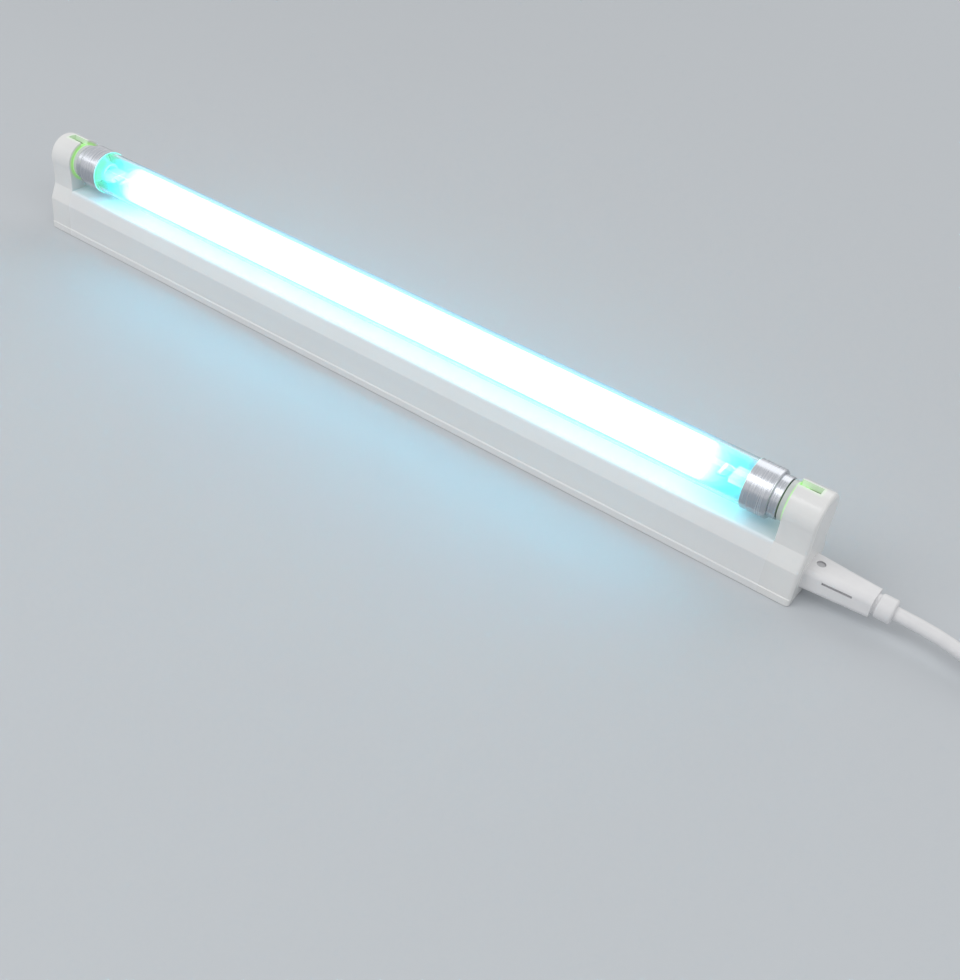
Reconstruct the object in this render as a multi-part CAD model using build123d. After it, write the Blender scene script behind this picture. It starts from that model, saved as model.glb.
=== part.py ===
from build123d import *
import math
import os

# Lamp tube: quartz glass, two stepped aluminium caps and bi-pin contacts
tube_length = 288.3
glass_diameter = 15.0
glass_wall = 1.0
cement_gap = 0.05
lamp_cap_wall = 0.25
lamp_cap_length = 10.9
lamp_cap_step = 1.1
lamp_cap_neck_length = 2.6
lamp_cap_edge_radius = 0.7
pin_diameter = 2.35
pin_length = 7.0
pin_spacing = 4.75
pin_root = 1.5
pin_tip_radius = 0.8
plate_diameter = 10.3
plate_thickness = 1.3
plate_rim = 0.9
stem_seal = 1.0
stem_length = 8.0
stem_diameter = 7.2
stem_wall = 0.7
stem_swell = 0.3
stem_side_gap = 0.2
press_length = 4.6
press_width = 7.6
press_thickness = 2.2
press_edge_radius = 0.85
lead_diameter = 0.6
lead_reach = 3.6
lead_spread = 0.95
lead_bend_gap = 0.7
lead_bend_run = 1.8
cathode_diameter = 1.1

# Body: channel housing on a shallow tray
body_width = 19.3
top_width = 14.8
side_height = 11.9
body_height = 17.5
housing_wall = 1.0
corner_radius = 1.0
tube_gap = 1.9
tray_height = 2.6
tray_overhang = 0.25
tray_floor = 1.2
tray_bevel = 0.4
upstand_height = 5.2
upstand_wall = 0.95
slip = 0.1
fixing_spacing = 200.0
fixing_diameter = 4.5

# End caps with round-headed turning lampholders
tube_end_gap = 2.45
end_cap_depth = 10.4
end_cap_wall = 1.4
head_radius = 7.8
head_blend_angle = 12.0
waist_inset = 0.15
end_edge_radius = 1.2
lip_depth = 1.4
chamber_room = 2.2
entry_clearance = 0.65
tongue_length = 4.0
tongue_root = 2.0
tongue_thickness = 1.2
tongue_wire_gap = 0.6
rotor_collar_diameter = 12.6
rotor_hub_diameter = 10.1
rotor_flange_diameter = 11.6
rotor_flange = 1.0
rotor_clearance = 0.15
rotor_end_gap = 0.2
rotor_slot_clearance = 0.3
contact_gap = 0.15
contact_thickness = 0.4
contact_width = 3.0
contact_rise = 2.4

# Mains inlet in the right end cap, and the connector that plugs into it
inlet_height = 8.0
inlet_depth = 5.5
inlet_wall = 1.5
inlet_clearance = 0.2
inlet_pin_diameter = 1.6
inlet_pin_spacing = 4.0
inlet_pin_tail = 1.4
nose_width = 7.8
nose_height = 5.2
connector_width = 10.6
connector_height = 8.0
connector_length = 20.5
connector_end_width = 8.4
connector_end_height = 7.0
connector_corner = 2.0
dimple_diameter = 2.8
dimple_depth = 0.5
grip_length = 9.0
grip_width = 0.7
grip_depth = 0.45
collar_diameter = 7.5
collar_length = 5.1
collar_neck_diameter = 6.2
collar_neck = 0.9
collar_edge_radius = 0.75
socket_diameter = 2.6
socket_length = 8.0
socket_fit = 0.05
socket_floor = 1.0

# Mains lead: visible stretch, tied hank and plug
cord_diameter = 4.2
cord_route = [
    (0.0, 0.0, 0.0),
    (14.0, 0.0, 0.0),
    (28.0, -2.2, -2.8),
    (41.0, -7.8, -5.9),
    (53.0, -7.8, -5.9),
]
hank_lead_in = 12.5
hank_run = 40.0
hank_fold_radius = 12.6
hank_columns = 2
hank_rows = 4
hank_corner = 2.9
tail_route = [
    (0.0, 0.0, 0.0),
    (15.0, 0.0, 0.1),
    (30.0, 5.4, 0.3),
    (47.0, 13.8, 0.55),
    (60.0, 13.8, 0.55),
]
tie_width = 5.0
tie_thickness = 0.8
plug_width = 35.3
plug_thickness = 13.7
plug_length = 34.0
plug_neck_width = 15.0
plug_shoulder = 16.0
plug_edge_radius = 3.0
plug_sleeve_length = 11.0
plug_sleeve_diameter = 6.4
plug_sleeve_base = 11.0
plug_pin_diameter = 4.0
plug_pin_length = 19.0
plug_pin_spacing = 18.6
plug_pin_tip_radius = 1.2

# Ballast board inside the housing
board_length = 92.0
board_gap = 0.6
board_thickness = 1.6
post_height = 2.0
post_diameter = 2.6
post_inset = 4.0
choke_width = 13.2
choke_head_gap = 0.7
choke_depth = 6.0
choke_leg = 3.0
choke_yoke = 1.8
winding_depth = 2.6
smoothing_diameter = 8.0
smoothing_length = 12.5
smoothing_edge_radius = 0.5
smoothing_groove_inset = 1.75
smoothing_groove_width = 0.8
smoothing_groove_depth = 0.3
film_width = 10.0
film_depth = 4.4
film_height = 9.0
film_edge_radius = 0.65
film_gap = 0.8
transistor_width = 7.6
transistor_depth = 2.7
transistor_gap = 2.8
transistor_leg = 1.6
transistor_leg_width = 0.7
transistor_leg_depth = 0.5
transistor_leg_pitch = 2.3
transistor_hole = 3.0
transistor_hole_drop = 2.7
transistor_head_gap = 1.1
ring_outer = 9.5
ring_inner = 5.0
ring_height = 4.2
ring_edge_radius = 0.8
diode_spacing = 8.4
diode_gap = 1.2
diode_diameter = 2.7
diode_length = 5.2

# Wiring from the board to the lampholders and the mains inlet
wire_diameter = 1.2
wire_rise = 0.05
wire_lap = 4.0
wire_level_run = 14.0
wire_end_run = 8.0
lamp_wire_side = (5.0, 5.6, 6.2, 6.0, 5.3)
lamp_wire_drop_run = 28.0
lamp_wire_lift_start = 30.0
lamp_wire_lift_end = 14.0
lamp_wire_lift = 2.8
mains_wire_side = (2.4, 3.4, 4.3, 4.35, 3.4)
mains_wire_drop_run = 26.0
mains_wire_lift_start = 34.0
mains_wire_lift_end = 10.0
mains_wire_lift = 2.4

# Planes that several pieces share, measured along the tube from its middle
cap_face_x = tube_length / 2
face_x = cap_face_x + tube_end_gap
end_x = face_x + end_cap_depth
rim_x = cap_face_x - lamp_cap_length
shoulder_x = cap_face_x - lamp_cap_neck_length
chamber_x = cap_face_x + pin_length + chamber_room
hub_end_x = face_x + lip_depth + rotor_end_gap
rotor_end_x = hub_end_x + rotor_flange
contact_x = rotor_end_x + rotor_end_gap
glass_end_x = shoulder_x - lamp_cap_wall - stem_seal - slip
press_x = glass_end_x - stem_length
cathode_x = press_x - press_length - lead_reach
pin_offset = pin_spacing / 2
contact_y = pin_offset + pin_diameter / 2 + contact_gap
lamp_cap_diameter = glass_diameter + 2 * (cement_gap + lamp_cap_wall)
lamp_cap_neck_diameter = lamp_cap_diameter - 2 * lamp_cap_step
axis_height = body_height + tube_gap + lamp_cap_diameter / 2
inlet_top = inlet_height + nose_height / 2 + inlet_clearance + end_cap_wall
lamp_wire_height = (inlet_top + body_height - end_cap_wall) / 2
lamp_wire_y = contact_y + contact_thickness / 2
inlet_x = end_x - inlet_depth - inlet_wall
cord_exit_x = end_x + connector_length + collar_neck + collar_length
board_top = tray_floor + post_height + board_thickness
board_width = body_width - 2 * (housing_wall + slip + upstand_wall + board_gap)
head_room = body_height - housing_wall - board_top
choke_height = head_room - choke_head_gap


def block(x_range, y_range, z_range):
    """Box between three pairs of limits."""
    spans = [x_range, y_range, z_range]
    middle = [(low + high) / 2 for low, high in spans]
    size = [high - low for low, high in spans]
    return Pos(*middle) * Box(*size)


def bar(diameter, x_start, x_end, y=0.0, z=0.0):
    """Round bar along X."""
    rod = Cylinder(diameter / 2, x_end - x_start, align=(Align.CENTER, Align.CENTER, Align.MIN))
    return Pos(x_start, y, z) * Rot(0, 90, 0) * rod


def along_x(sketch, x_start, x_end):
    """Front-view sketch drawn out along X."""
    return extrude(Plane.YZ.offset(x_start) * sketch, x_end - x_start)


def turned(face):
    """Profile of (x, radius) points turned about the tube axis."""
    return Pos(0, 0, axis_height) * revolve(face, Axis.X)


def other_end(piece):
    """Same piece on the opposite end of the lamp."""
    return mirror(piece, about=Plane.YZ)


def group(*pieces):
    """Several like pieces kept together."""
    return Compound(children=[solid for piece in pieces for solid in piece.solids()])


def corners_at(face, height):
    """Corners of a front-view outline at one height."""
    return face.vertices().filter_by(lambda corner: abs(corner.Y - height) < 0.001)


def bend_radii(points):
    """Bend at each corner of a route, as large as its two runs allow."""
    radii = []
    for before, corner, after in zip(points, points[1:], points[2:]):
        run_in = Vector(*corner) - Vector(*before)
        run_out = Vector(*after) - Vector(*corner)
        half_turn = math.radians(run_in.get_angle(run_out)) / 2
        radii.append(0.45 * min(run_in.length, run_out.length) / math.tan(half_turn))
    return radii


def tube_along(points, diameter):
    """Flexible lead of round section along a route of points."""
    path = FilletPolyline(*points, radius=bend_radii(points))
    section = Plane(origin=path @ 0, z_dir=path % 0) * Circle(diameter / 2)
    return sweep(section, path=path)


# Body of the lamp


def channel_outline(bottom):
    """Front view of the body: upright sides, sloped shoulders and a flat top."""
    half, top = body_width / 2, top_width / 2
    right = [(half, bottom), (half, side_height), (top, body_height)]
    left = [(-y, z) for y, z in reversed(right)]
    return make_face(Polyline(*right, *left, close=True))


def housing():
    """Thin channel that closes the body from above."""
    outline = channel_outline(-body_height)
    outline = fillet(corners_at(outline, side_height) + corners_at(outline, body_height), corner_radius)
    wall = outline - offset(outline, -housing_wall)
    below = Pos(0, tray_height - 2 * body_height) * Rectangle(2 * body_width, 4 * body_height)
    return along_x(wall - below, -face_x, face_x)


def tray_section():
    """Front view of the tray: floor, outer rim under the channel and inner upstands."""
    rim = body_width / 2 + tray_overhang
    outer = body_width / 2 - housing_wall - slip
    inner = outer - upstand_wall
    right = [
        (rim, 0),
        (rim, tray_height - tray_bevel),
        (rim - tray_bevel, tray_height),
        (outer, tray_height),
        (outer, upstand_height),
        (inner, upstand_height),
        (inner, tray_floor),
    ]
    left = [(-y, z) for y, z in reversed(right)]
    return make_face(Polyline(*right, *left, close=True))


def base_tray():
    """Floor of the body with four board posts and two fixing holes."""
    tray = along_x(tray_section(), -face_x, face_x)
    post_x = board_length / 2 - post_inset
    post_y = board_width / 2 - post_diameter / 2 - slip
    post = Cylinder(post_diameter / 2, post_height, align=(Align.CENTER, Align.CENTER, Align.MIN))
    for x in (-post_x, post_x):
        for y in (-post_y, post_y):
            tray += Pos(x, y, tray_floor) * post
    for x in (-fixing_spacing / 2, fixing_spacing / 2):
        tray -= Pos(x, 0, 0) * Cylinder(fixing_diameter / 2, 4 * tray_floor)
    return tray


def end_cap_outline():
    """Front view of an end cap: body, shoulders, slim waist and round head."""
    half, top = body_width / 2, top_width / 2
    angle = math.radians(head_blend_angle)
    blend = (head_radius * math.cos(angle), axis_height - head_radius * math.sin(angle))
    waist = ((top + blend[0]) / 2 - waist_inset, (body_height + blend[1]) / 2)
    mirror_of = [(-y, z) for y, z in ((top, body_height), waist, blend)]
    left_side = [mirror_of[0], (-half, side_height), (-half, 0)]
    right_side = [(half, 0), (half, side_height), (top, body_height)]
    outline = Polyline(*left_side, *right_side)
    outline += ThreePointArc((top, body_height), waist, blend)
    outline += ThreePointArc(blend, (0, axis_height + head_radius), mirror_of[2])
    outline += ThreePointArc(mirror_of[2], mirror_of[1], mirror_of[0])
    face = make_face(outline)
    return fillet(corners_at(face, side_height), corner_radius)


def end_cap_shell():
    """Outside of the right end cap, with the tray's strip carried round its foot."""
    shell = along_x(end_cap_outline(), face_x, end_x)
    rim = shell.faces().sort_by(Axis.X)[-1].edges()
    shell = fillet(rim.filter_by(lambda edge: edge.center().Z > 0.01), end_edge_radius)
    foot_half = body_width / 2 + tray_overhang
    foot = block((face_x, end_x), (-foot_half, foot_half), (0, tray_height))
    foot = fillet(foot.edges().filter_by(Axis.Z).group_by(Axis.X)[-1], end_edge_radius)
    top_edges = foot.faces().sort_by(Axis.Z)[-1].edges()
    foot = chamfer(top_edges.filter_by(lambda edge: edge.center().X > face_x + 0.01), tray_bevel)
    return shell + foot


def lampholder_cavity():
    """Rotor mouth, contact chamber, pin entry slot and the duct down to the body."""
    mouth = bar(rotor_hub_diameter + 2 * rotor_clearance, face_x - 1, chamber_x, z=axis_height)
    chamber = bar(rotor_flange_diameter + 2 * rotor_clearance, face_x + lip_depth, chamber_x, z=axis_height)
    entry = (pin_diameter + entry_clearance) / 2
    slot = block((face_x - 1, chamber_x), (-entry, entry), (axis_height, axis_height + 2 * head_radius))
    duct_y = contact_y + contact_thickness
    duct_x = (contact_x - slip, contact_x + contact_width + slip)
    duct = block(duct_x, (-duct_y, duct_y), (body_height - 2 * end_cap_wall, axis_height))
    return mouth + chamber + slot + duct


def end_cap_tongues():
    """Three tongues that slide into the housing: under its top, between the wires, and inside its walls."""
    span = (face_x - tongue_length, face_x + tongue_root)
    top = body_height - housing_wall - slip
    side = body_width / 2 - housing_wall - slip
    low = upstand_height + tongue_thickness
    high = side_height - tongue_thickness
    half = lamp_wire_y - wire_diameter / 2 - tongue_wire_gap
    tongues = block(span, (-half, half), (top - tongue_thickness, top))
    tongues += block(span, (side - tongue_thickness, side), (low, high))
    tongues += block(span, (-side, tongue_thickness - side), (low, high))
    return tongues


def plain_end_cap():
    """Hollow end cap with its lampholder, on the right."""
    inside = offset(channel_outline(0), -end_cap_wall, kind=Kind.INTERSECTION)
    cavity = along_x(inside, face_x - 1, end_x - end_cap_wall)
    return end_cap_shell() - cavity - lampholder_cavity() + end_cap_tongues()


def inlet_box(grow, x_start, x_end):
    """Box around the connector nose, grown on all sides."""
    half_y = nose_width / 2 + grow
    half_z = nose_height / 2 + grow
    return block((x_start, x_end), (-half_y, half_y), (inlet_height - half_z, inlet_height + half_z))


def right_end_cap():
    """End cap with the shrouded mains inlet."""
    cap = plain_end_cap() + inlet_box(inlet_clearance + end_cap_wall, inlet_x, end_x - slip)
    cap -= inlet_box(inlet_clearance, inlet_x + inlet_wall, end_x + 1)
    for y in (-inlet_pin_spacing / 2, inlet_pin_spacing / 2):
        cap -= bar(inlet_pin_diameter, inlet_x - 1, end_x, y, inlet_height)
    return cap


def right_rotor():
    """Slotted insert that turns with the lamp pins, held behind the mouth lip."""
    collar_x = cap_face_x + rotor_end_gap + slip
    rotor = bar(rotor_collar_diameter, collar_x, face_x - rotor_end_gap, z=axis_height)
    rotor += bar(rotor_hub_diameter, face_x - rotor_end_gap, rotor_end_x, z=axis_height)
    rotor += bar(rotor_flange_diameter, hub_end_x, rotor_end_x, z=axis_height)
    half = (pin_diameter + rotor_slot_clearance) / 2
    span = (collar_x - 1, rotor_end_x + 1)
    rotor -= block(span, (-pin_offset, rotor_collar_diameter), (axis_height - half, axis_height + half))
    return rotor - bar(2 * half, span[0], span[1], -pin_offset, axis_height)


def right_contacts():
    """Two spring strips that stand beside the pins and run down into the body."""
    span = (contact_x, contact_x + contact_width)
    height = (lamp_wire_height - wire_diameter / 2, axis_height + contact_rise)
    near = block(span, (-contact_y - contact_thickness, -contact_y), height)
    far = block(span, (contact_y, contact_y + contact_thickness), height)
    return group(near, far)


# Lamp tube


def glass_tube():
    """Clear quartz tube, open at both ends until its stems close it."""
    outer = bar(glass_diameter, -glass_end_x, glass_end_x, z=axis_height)
    return outer - bar(glass_diameter - 2 * glass_wall, -glass_end_x - 1, glass_end_x + 1, z=axis_height)


def right_lamp_cap():
    """Stepped aluminium shell with a rounded shoulder and an open end face."""
    outer, neck = lamp_cap_diameter / 2, lamp_cap_neck_diameter / 2
    opening = plate_diameter / 2 + cement_gap
    wall = lamp_cap_wall
    profile = make_face(
        Polyline(
            (rim_x, outer - wall),
            (rim_x, outer),
            (shoulder_x, outer),
            (shoulder_x, neck),
            (cap_face_x, neck),
            (cap_face_x, opening),
            (cap_face_x - wall, opening),
            (cap_face_x - wall, neck - wall),
            (shoulder_x - wall, neck - wall),
            (shoulder_x - wall, outer - wall),
            close=True,
        )
    )
    shoulder = profile.vertices().sort_by_distance((shoulder_x, outer))[0]
    profile = fillet(shoulder, lamp_cap_edge_radius)
    inside = profile.vertices().sort_by_distance((shoulder_x - wall, outer - wall))[0]
    profile = fillet(inside, lamp_cap_edge_radius - wall)
    nose = profile.vertices().sort_by_distance((cap_face_x, neck))[0]
    return turned(fillet(nose, wall))


def right_pin_plate():
    """Insulating plate in the cap's end face, drilled for the pins."""
    rim_end = cap_face_x - lamp_cap_wall - cement_gap
    plate = bar(plate_diameter, rim_end - plate_rim, rim_end - plate_rim + plate_thickness, z=axis_height)
    rim_diameter = lamp_cap_neck_diameter - 2 * (lamp_cap_wall + slip)
    plate += bar(rim_diameter, rim_end - plate_rim, rim_end, z=axis_height)
    for y in (-pin_offset, pin_offset):
        plate -= bar(pin_diameter, rim_x, end_x, y, axis_height)
    return plate


def right_pins():
    """Two contact pins with rounded tips."""
    pins = []
    for y in (-pin_offset, pin_offset):
        pin = bar(pin_diameter, cap_face_x - pin_root, cap_face_x + pin_length, y, axis_height)
        tip = pin.faces().sort_by(Axis.X)[-1].edges()
        pins.append(fillet(tip, pin_tip_radius))
    return group(*pins)


def right_leads():
    """Two wires from the pins through the glass press to the ends of the cathode."""
    leads = []
    for side in (-1, 1):
        y = side * pin_offset
        wide = side * (pin_offset + lead_spread)
        bend_x = press_x - press_length - lead_bend_gap
        route = [
            (cap_face_x - pin_root, y, axis_height),
            (bend_x, y, axis_height),
            (bend_x - lead_bend_run, wide, axis_height),
            (cathode_x - lead_diameter, wide, axis_height),
        ]
        path = FilletPolyline(*route, radius=lead_diameter)
        section = Plane(origin=path @ 0, z_dir=path % 0) * Circle(lead_diameter / 2)
        leads.append(sweep(section, path=path))
    return group(*leads)


def right_stem():
    """Trumpet of glass that seals the tube end and pinches the two lead wires."""
    seal = (glass_diameter - glass_wall) / 2
    flare = glass_diameter / 2 - glass_wall - stem_side_gap
    bore = stem_diameter / 2
    back_x = glass_end_x + stem_seal
    middle_x = (glass_end_x + press_x) / 2
    outside = [(glass_end_x, flare), (middle_x, bore + stem_swell), (press_x, bore)]
    back = [(back_x, flare - stem_wall), (back_x, seal), (glass_end_x, seal), outside[0]]
    outline = Spline(*outside, tangents=((-0.6, -1), (-1, 0)))
    outline += Line((press_x, bore), (press_x, bore - stem_wall))
    outline += stem_inside(flare, bore, back_x, middle_x)
    outline += Polyline(*back)
    stem = turned(make_face(outline))
    press = block(
        (press_x - press_length, press_x + stem_wall),
        (-press_width / 2, press_width / 2),
        (axis_height - press_thickness / 2, axis_height + press_thickness / 2),
    )
    press = fillet(press.edges().filter_by(Axis.X), press_edge_radius)
    stem += press
    for y in (-pin_offset, pin_offset):
        stem -= bar(lead_diameter, press_x - press_length - 1, back_x + 1, y, axis_height)
    return stem


def stem_inside(flare, bore, back_x, middle_x):
    """Inside of the stem's trumpet, one wall in from its outside."""
    start = (press_x, bore - stem_wall)
    middle = (middle_x + stem_wall, bore + stem_swell - stem_wall)
    end = (back_x, flare - stem_wall)
    return Spline(start, middle, end, tangents=((1, 0), (0.6, 1)))


def right_cathode():
    """Coiled filament between the two lead wires, as its outer shape."""
    half = pin_offset + lead_spread - lead_diameter / 2
    coil = Cylinder(cathode_diameter / 2, 2 * half)
    return Pos(cathode_x, 0, axis_height) * Rot(90, 0, 0) * coil


# Ballast and wiring


def ballast_board():
    """Circuit board on the tray's posts."""
    half_x, half_y = board_length / 2, board_width / 2
    return block((-half_x, half_x), (-half_y, half_y), (board_top - board_thickness, board_top))


def board_row():
    """Middle of each component along the board, in a row with equal gaps between the wires' ends."""
    lengths = {
        "choke": choke_width,
        "ring": ring_outer,
        "transistors": transistor_width,
        "film": film_width,
        "smoothing": smoothing_length,
        "diodes": 2 * diode_length + diode_gap,
    }
    gap = (board_length - 2 * wire_lap - sum(lengths.values())) / (len(lengths) + 1)
    places = {}
    end = wire_lap - board_length / 2
    for name, length in lengths.items():
        places[name] = end + gap + length / 2
        end += gap + length
    return places


def choke_place():
    """Middle of the choke's foot on the board."""
    return Pos(board_row()["choke"], 0, board_top)


def choke_core():
    """Ferrite core of three legs between two yokes."""
    half_x, half_y = choke_width / 2, choke_depth / 2
    core = block((-half_x, half_x), (-half_y, half_y), (0, choke_height))
    window = (choke_width - 2 * choke_yoke - choke_leg) / 2
    for side in (-1, 1):
        middle = side * (choke_leg + window) / 2
        span = (middle - window / 2, middle + window / 2)
        core -= block(span, (-choke_depth, choke_depth), (choke_yoke, choke_height - choke_yoke))
    return choke_place() * core


def choke_winding():
    """Winding round the middle leg."""
    window = (choke_width - 2 * choke_yoke - choke_leg) / 2
    half_x = choke_leg / 2 + window - slip
    half_y = choke_depth / 2 + winding_depth
    height = (choke_yoke + slip, choke_height - choke_yoke - slip)
    winding = block((-half_x, half_x), (-half_y, half_y), height)
    winding = fillet(winding.edges().filter_by(Axis.Z), winding_depth / 2)
    leg = (choke_leg / 2 + slip, choke_depth / 2 + slip)
    return choke_place() * (winding - block((-leg[0], leg[0]), (-leg[1], leg[1]), (0, choke_height)))


def smoothing_capacitor():
    """Round can lying on the board, with a rolled groove near one end."""
    start = board_row()["smoothing"] - smoothing_length / 2
    end = start + smoothing_length
    height = board_top + smoothing_diameter / 2
    can = bar(smoothing_diameter, start, end, z=height)
    can = fillet(can.edges().filter_by(GeomType.CIRCLE), smoothing_edge_radius)
    groove_start = end - smoothing_groove_inset - smoothing_groove_width / 2
    groove_end = groove_start + smoothing_groove_width
    floor = smoothing_diameter - 2 * smoothing_groove_depth
    ring = bar(2 * smoothing_diameter, groove_start, groove_end, z=height)
    return can - (ring - bar(floor, start, end, z=height))


def film_capacitors():
    """Two moulded block capacitors side by side."""
    body = Box(film_width, film_depth, film_height, align=(Align.CENTER, Align.CENTER, Align.MIN))
    body = fillet(body.edges().filter_by(Axis.Z), film_edge_radius)
    side_y = (film_depth + film_gap) / 2
    return group(*[Pos(board_row()["film"], y, board_top) * body for y in (-side_y, side_y)])


def transistors():
    """Two power transistors standing on three legs each."""
    half_x, half_y = transistor_width / 2, transistor_depth / 2
    top = head_room - transistor_head_gap
    body = block((-half_x, half_x), (-half_y, half_y), (transistor_leg, top))
    leg_x, leg_y = transistor_leg_width / 2, transistor_leg_depth / 2
    for x in (-transistor_leg_pitch, 0.0, transistor_leg_pitch):
        body += block((x - leg_x, x + leg_x), (-leg_y, leg_y), (0, transistor_leg))
    hole = Cylinder(transistor_hole / 2, 4 * transistor_depth)
    body -= Pos(0, 0, top - transistor_hole_drop) * Rot(90, 0, 0) * hole
    side_y = (transistor_depth + transistor_gap) / 2
    x = board_row()["transistors"]
    return group(*[Pos(x, y, board_top) * body for y in (-side_y, side_y)])


def drive_ring():
    """Small ring transformer lying on the board."""
    ring = Cylinder(ring_outer / 2, ring_height) - Cylinder(ring_inner / 2, 2 * ring_height)
    ring = fillet(ring.edges().filter_by(GeomType.CIRCLE), ring_edge_radius)
    return Pos(board_row()["ring"], 0, board_top + ring_height / 2) * ring


def diodes():
    """Four rectifier diodes in two rows."""
    bodies = []
    height = board_top + diode_diameter / 2
    middle = board_row()["diodes"]
    for start in (middle - diode_gap / 2 - diode_length, middle + diode_gap / 2):
        for y in (-diode_spacing / 2, diode_spacing / 2):
            bodies.append(bar(diode_diameter, start, start + diode_length, y, height))
    return group(*bodies)


def wire_pair(points):
    """Two insulated wires on mirrored routes either side of the middle."""
    near = [(x, -y, z) for x, y, z in points]
    return group(tube_along(points, wire_diameter), tube_along(near, wire_diameter))


def right_lamp_wires():
    """Wires from the board to the feet of the lampholder contacts."""
    start = board_length / 2
    lie = board_top + wire_diameter / 2 + wire_rise
    floor = tray_floor + wire_diameter
    side = lamp_wire_side
    points = [
        (start - wire_lap, side[0], lie),
        (start + wire_level_run, side[1], lie),
        (start + wire_level_run + lamp_wire_drop_run, side[2], floor + wire_rise),
        (face_x - lamp_wire_lift_start, side[3], floor),
        (face_x - lamp_wire_lift_end, side[4], floor + lamp_wire_lift),
        (contact_x - wire_end_run, lamp_wire_y, lamp_wire_height),
        (contact_x, lamp_wire_y, lamp_wire_height),
    ]
    return wire_pair(points)


def inlet_wires():
    """Wires from the mains inlet to the board."""
    start = board_length / 2
    lie = board_top + wire_diameter / 2 + wire_rise
    tail = inlet_x - inlet_pin_tail
    pin_y = inlet_pin_spacing / 2
    floor = tray_floor + wire_diameter
    side = mains_wire_side
    points = [
        (start - wire_lap, side[0], lie),
        (start + wire_level_run, side[1], lie),
        (start + wire_level_run + mains_wire_drop_run, side[2], floor + wire_rise),
        (face_x - mains_wire_lift_start, side[3], floor),
        (tail - wire_end_run - mains_wire_lift_end, side[4], floor + mains_wire_lift),
        (tail - wire_end_run, pin_y, inlet_height),
        (tail, pin_y, inlet_height),
    ]
    return wire_pair(points)


def inlet_pins():
    """Two mains pins through the inlet's wall."""
    tail_x, tip_x = inlet_x - inlet_pin_tail, end_x - 2 * inlet_clearance
    places = (-inlet_pin_spacing / 2, inlet_pin_spacing / 2)
    return group(*[bar(inlet_pin_diameter, tail_x, tip_x, y, inlet_height) for y in places])


# Mains lead


def connector_section(width, height):
    """Rounded rectangle in front view at the inlet's height."""
    return Pos(0, inlet_height) * RectangleRounded(width, height, connector_corner)


def grip_groove(side):
    """Shallow line along a tapered side of the connector."""
    taper = math.atan2((connector_width - connector_end_width) / 2, connector_length)
    middle = (connector_width + connector_end_width) / 4
    groove = Box(grip_length, 2 * grip_depth, grip_width)
    height = inlet_height + connector_end_height / 2 - connector_corner
    place = Pos(end_x + connector_length / 2, side * middle, height)
    return place * Rot(0, 0, -side * math.degrees(taper)) * groove


def cord_connector():
    """Moulded connector: nose, tapered grip and round strain-relief collar."""
    body_end = end_x + connector_length
    wide = Plane.YZ.offset(end_x) * connector_section(connector_width, connector_height)
    slim = Plane.YZ.offset(body_end) * connector_section(connector_end_width, connector_end_height)
    body = loft(Sketch() + [wide, slim])
    dimple = Cylinder(dimple_diameter / 2, 2 * dimple_depth)
    body -= Pos(end_x + dimple_diameter, 0, inlet_height + connector_height / 2) * dimple
    body -= grip_groove(-1) + grip_groove(1)
    body += inlet_box(0, end_x - inlet_depth + inlet_clearance, end_x)
    collar_x = body_end + collar_neck
    body += bar(collar_neck_diameter, body_end, collar_x, z=inlet_height)
    collar = bar(collar_diameter, collar_x, cord_exit_x, z=inlet_height)
    body += fillet(collar.edges().filter_by(GeomType.CIRCLE), collar_edge_radius)
    nose_x = end_x - inlet_depth + inlet_clearance
    for y in (-inlet_pin_spacing / 2, inlet_pin_spacing / 2):
        body -= bar(socket_diameter, nose_x - 1, nose_x + socket_length, y, inlet_height)
    return body


def connector_sockets():
    """Two sleeves inside the connector that take the inlet pins."""
    nose_x = end_x - inlet_depth + inlet_clearance
    end = nose_x + socket_length
    bore = inlet_pin_diameter + 2 * socket_fit
    sleeves = []
    for y in (-inlet_pin_spacing / 2, inlet_pin_spacing / 2):
        sleeve = bar(socket_diameter, nose_x, end, y, inlet_height)
        sleeves.append(sleeve - bar(bore, nose_x - 1, end - socket_floor, y, inlet_height))
    return group(*sleeves)


def lead_points():
    """Route of the visible lead, from the collar to the start of the hank."""
    return [(cord_exit_x + x, y, inlet_height + z) for x, y, z in cord_route]


def hank_fold():
    """Middle of the hank's first fold, beside the end of the lead."""
    end = lead_points()[-1]
    outer_fold = hank_fold_radius + cord_diameter * (hank_columns - 1)
    return Vector(end[0] + hank_lead_in, end[1] + outer_fold, 0)


def hank_ring():
    """Oval ring round all the turns, standing on the floor."""
    inner = hank_fold_radius - cord_diameter / 2
    outer = inner + hank_columns * cord_diameter
    oval = SlotCenterToCenter(hank_run, 2 * outer) - SlotCenterToCenter(hank_run, 2 * inner)
    ring = extrude(oval, hank_rows * cord_diameter)
    edges = ring.faces().sort_by(Axis.Z)[-1].edges() + ring.faces().sort_by(Axis.Z)[0].edges()
    fold = hank_fold()
    return Pos(fold.X + hank_run / 2, fold.Y, 0) * fillet(edges, hank_corner)


def bundle_section(grow):
    """Front view of the turns side by side in the run nearest the lead."""
    width = hank_columns * cord_diameter
    height = hank_rows * cord_diameter
    middle = hank_fold().Y - hank_fold_radius + cord_diameter / 2 - width / 2
    return Pos(middle, height / 2) * RectangleRounded(width + 2 * grow, height + 2 * grow, hank_corner)


def cord_tie():
    """Band wrapped once round the turns, flush with their outside."""
    start = hank_fold().X + hank_run / 2 - tie_width / 2
    return along_x(bundle_section(0) - bundle_section(-tie_thickness), start, start + tie_width)


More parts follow.
